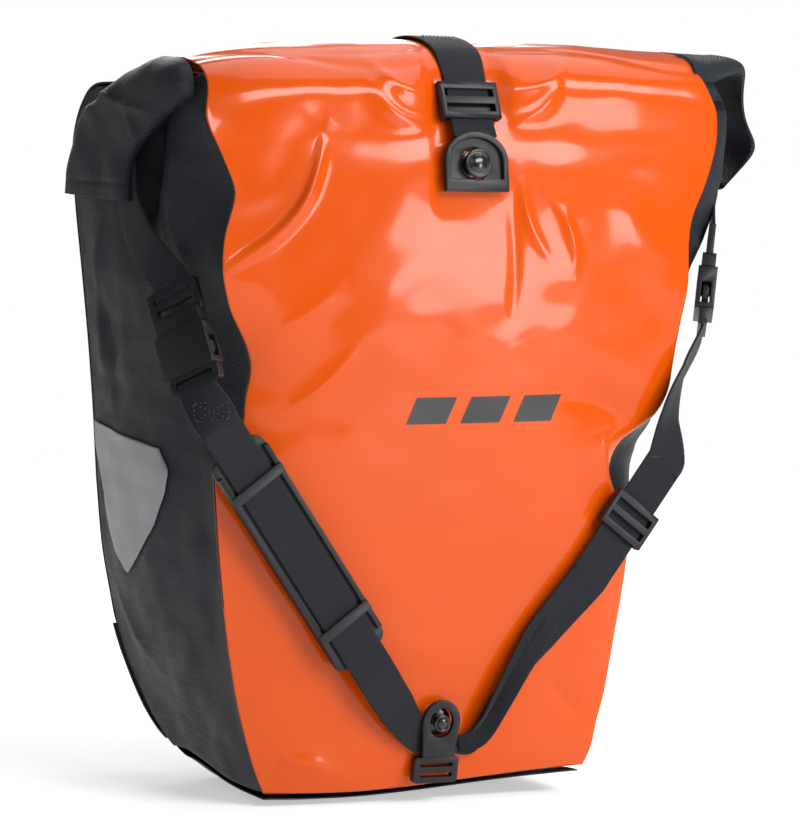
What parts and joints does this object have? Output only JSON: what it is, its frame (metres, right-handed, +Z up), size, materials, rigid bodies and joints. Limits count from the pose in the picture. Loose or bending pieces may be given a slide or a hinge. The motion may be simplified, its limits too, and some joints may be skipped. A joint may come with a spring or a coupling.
{
  "type": "pannier bag",
  "caption": "Roll-top bicycle pannier of coated cloth with a buckled mouth, front catch straps, shoulder strap, reflectors and hook-and-rail rack mounting.",
  "frame": {"origin": "on the floor under the middle of the bag's width, on the bottom panel's flat underside", "axes": "+Z up, +Y to the back where the rack hooks are, -Y to the front, +X to the right seen from the front"},
  "size_m": [0.3949, 0.2275, 0.4347],
  "materials": {
    "orange_tarpaulin": "glossy coated cloth",
    "black_tarpaulin": "satin coated cloth",
    "webbing": "woven nylon",
    "black_plastic": "fine-grained moulded",
    "soft_insert": "matt",
    "reflective_film": "silver glass-bead film",
    "inner_board": "smooth",
    "steel": "zinc plated"
  },
  "bodies": {
    "bag": {"front_panel": "orange_tarpaulin", "rolled_mouth": "orange_tarpaulin", "back_panel": "black_tarpaulin", "bottom_panel": "black_tarpaulin", "left_gusset": "black_tarpaulin", "right_gusset": "black_tarpaulin", "left_roll_end": "black_tarpaulin", "right_roll_end": "black_tarpaulin", "closure_strap": "webbing", "left_side_tab": "webbing", "right_side_tab": "webbing", "left_strap": "webbing", "right_strap": "webbing", "closure_stud": "black_plastic", "lower_stud": "black_plastic", "lower_anchor": "black_plastic", "left_buckle_plug": "black_plastic", "left_buckle_socket": "black_plastic", "right_buckle_plug": "black_plastic", "right_buckle_socket": "black_plastic", "top_rail": "black_plastic", "lower_rail": "black_plastic", "left_hook": "black_plastic", "right_hook": "black_plastic", "left_edge_guard": "black_plastic", "right_edge_guard": "black_plastic", "left_hook_insert": "soft_insert", "right_hook_insert": "soft_insert", "left_reflector": "reflective_film", "right_reflector": "reflective_film", "back_board": "inner_board", "mouth_stiffener": "inner_board", "closure_stud_washer": "steel", "lower_stud_washer": "steel", "top_nut_plate": "steel", "lower_nut_plate": "steel", "rail_screw_1": "steel", "rail_screw_2": "steel", "rail_screw_3": "steel", "rail_screw_4": "steel", "left_latch_pin": "steel", "right_latch_pin": "steel"},
    "closure_pull": {"closure_pull_strap": "webbing", "closure_catch": "black_plastic"},
    "closure_slider": {"closure_slider": "black_plastic"},
    "lower_catch": {"lower_catch": "black_plastic"},
    "left_prong_a": {"left_prong_a": "black_plastic"},
    "left_prong_b": {"left_prong_b": "black_plastic"},
    "right_prong_a": {"right_prong_a": "black_plastic"},
    "right_prong_b": {"right_prong_b": "black_plastic"},
    "shoulder_pad": {"shoulder_pad": "black_plastic"},
    "strap_adjuster": {"strap_adjuster": "black_plastic"},
    "handle": {"carry_handle": "webbing", "left_handle_link": "black_plastic", "right_handle_link": "black_plastic"},
    "left_latch": {"left_latch": "black_plastic"},
    "right_latch": {"right_latch": "black_plastic"},
    "lower_carriage": {"lower_hook_carriage": "black_plastic", "lower_hook_pivot": "steel"},
    "lower_hook": {"lower_hook": "soft_insert"}
  },
  "joints": [
    {"name": "closure_catch_swing", "type": "hinge", "parent": "bag", "child": "closure_pull", "pos_m": [0, -0.09706, 0.38598], "axis": [-1, 0, 0], "range_deg": [0, 100]},
    {"name": "closure_slider_slide", "type": "slide", "parent": "bag", "child": "closure_slider", "axis": [0, 0.4138, 0.9104], "range_m": [0, 0.006]},
    {"name": "lower_catch_swing", "type": "hinge", "parent": "bag", "child": "lower_catch", "pos_m": [0, -0.08932, 0.02705], "axis": [1, 0, 0], "range_deg": [0, 110]},
    {"name": "left_prong_b_squeeze", "type": "hinge", "parent": "bag", "child": "left_prong_b", "pos_m": [-0.16862, -0.06704, 0.26361], "axis": [-0.8864, -0.4467, 0.1214], "range_deg": [0, 8], "stiffness_Nm_per_rad": 0.05},
    {"name": "left_prong_a_squeeze", "type": "hinge", "parent": "bag", "child": "left_prong_a", "pos_m": [-0.15851, -0.08443, 0.27346], "axis": [-0.8864, -0.4467, 0.1214], "range_deg": [-8, 0], "stiffness_Nm_per_rad": 0.05},
    {"name": "right_prong_b_squeeze", "type": "hinge", "parent": "bag", "child": "right_prong_b", "pos_m": [0.16582, -0.086, 0.30624], "axis": [0.852, -0.5199, -0.0611], "range_deg": [0, 8], "stiffness_Nm_per_rad": 0.05},
    {"name": "right_prong_a_squeeze", "type": "hinge", "parent": "bag", "child": "right_prong_a", "pos_m": [0.17645, -0.0677, 0.29889], "axis": [0.852, -0.5199, -0.0611], "range_deg": [-8, 0], "stiffness_Nm_per_rad": 0.05},
    {"name": "shoulder_pad_slide", "type": "slide", "parent": "bag", "child": "shoulder_pad", "axis": [0.5926, 0, -0.8055], "range_m": [-0.012, 0.012]},
    {"name": "strap_adjuster_slide", "type": "slide", "parent": "bag", "child": "strap_adjuster", "axis": [-0.5824, 0, -0.8129], "range_m": [-0.025, 0.025]},
    {"name": "handle_lift", "type": "slide", "parent": "bag", "child": "handle", "axis": [0, 0, 1], "range_m": [0, 0.0058], "stiffness_N_per_m": 400},
    {"name": "left_latch_turn", "type": "hinge", "parent": "bag", "child": "left_latch", "pos_m": [-0.1015, 0.098, 0.366], "axis": [-1, 0, 0], "range_deg": [0, 26]},
    {"name": "right_latch_turn", "type": "hinge", "parent": "bag", "child": "right_latch", "pos_m": [0.1015, 0.098, 0.366], "axis": [-1, 0, 0], "range_deg": [0, 26]},
    {"name": "lower_hook_slide", "type": "slide", "parent": "bag", "child": "lower_carriage", "axis": [1, 0, 0], "range_m": [-0.036, 0.036]},
    {"name": "lower_hook_swivel", "type": "hinge", "parent": "lower_carriage", "child": "lower_hook", "pos_m": [0, 0.0933, 0.13], "axis": [0, 1, 0], "range_deg": [-90, 90]}
  ],
  "couplings": [
    {"joint": "left_prong_a_squeeze", "follows": "left_prong_b_squeeze", "ratio": -1},
    {"joint": "right_prong_a_squeeze", "follows": "right_prong_b_squeeze", "ratio": -1},
    {"joint": "left_latch_turn", "follows": "handle_lift", "rad_per_m": 77.6},
    {"joint": "right_latch_turn", "follows": "handle_lift", "rad_per_m": 77.6}
  ]
}
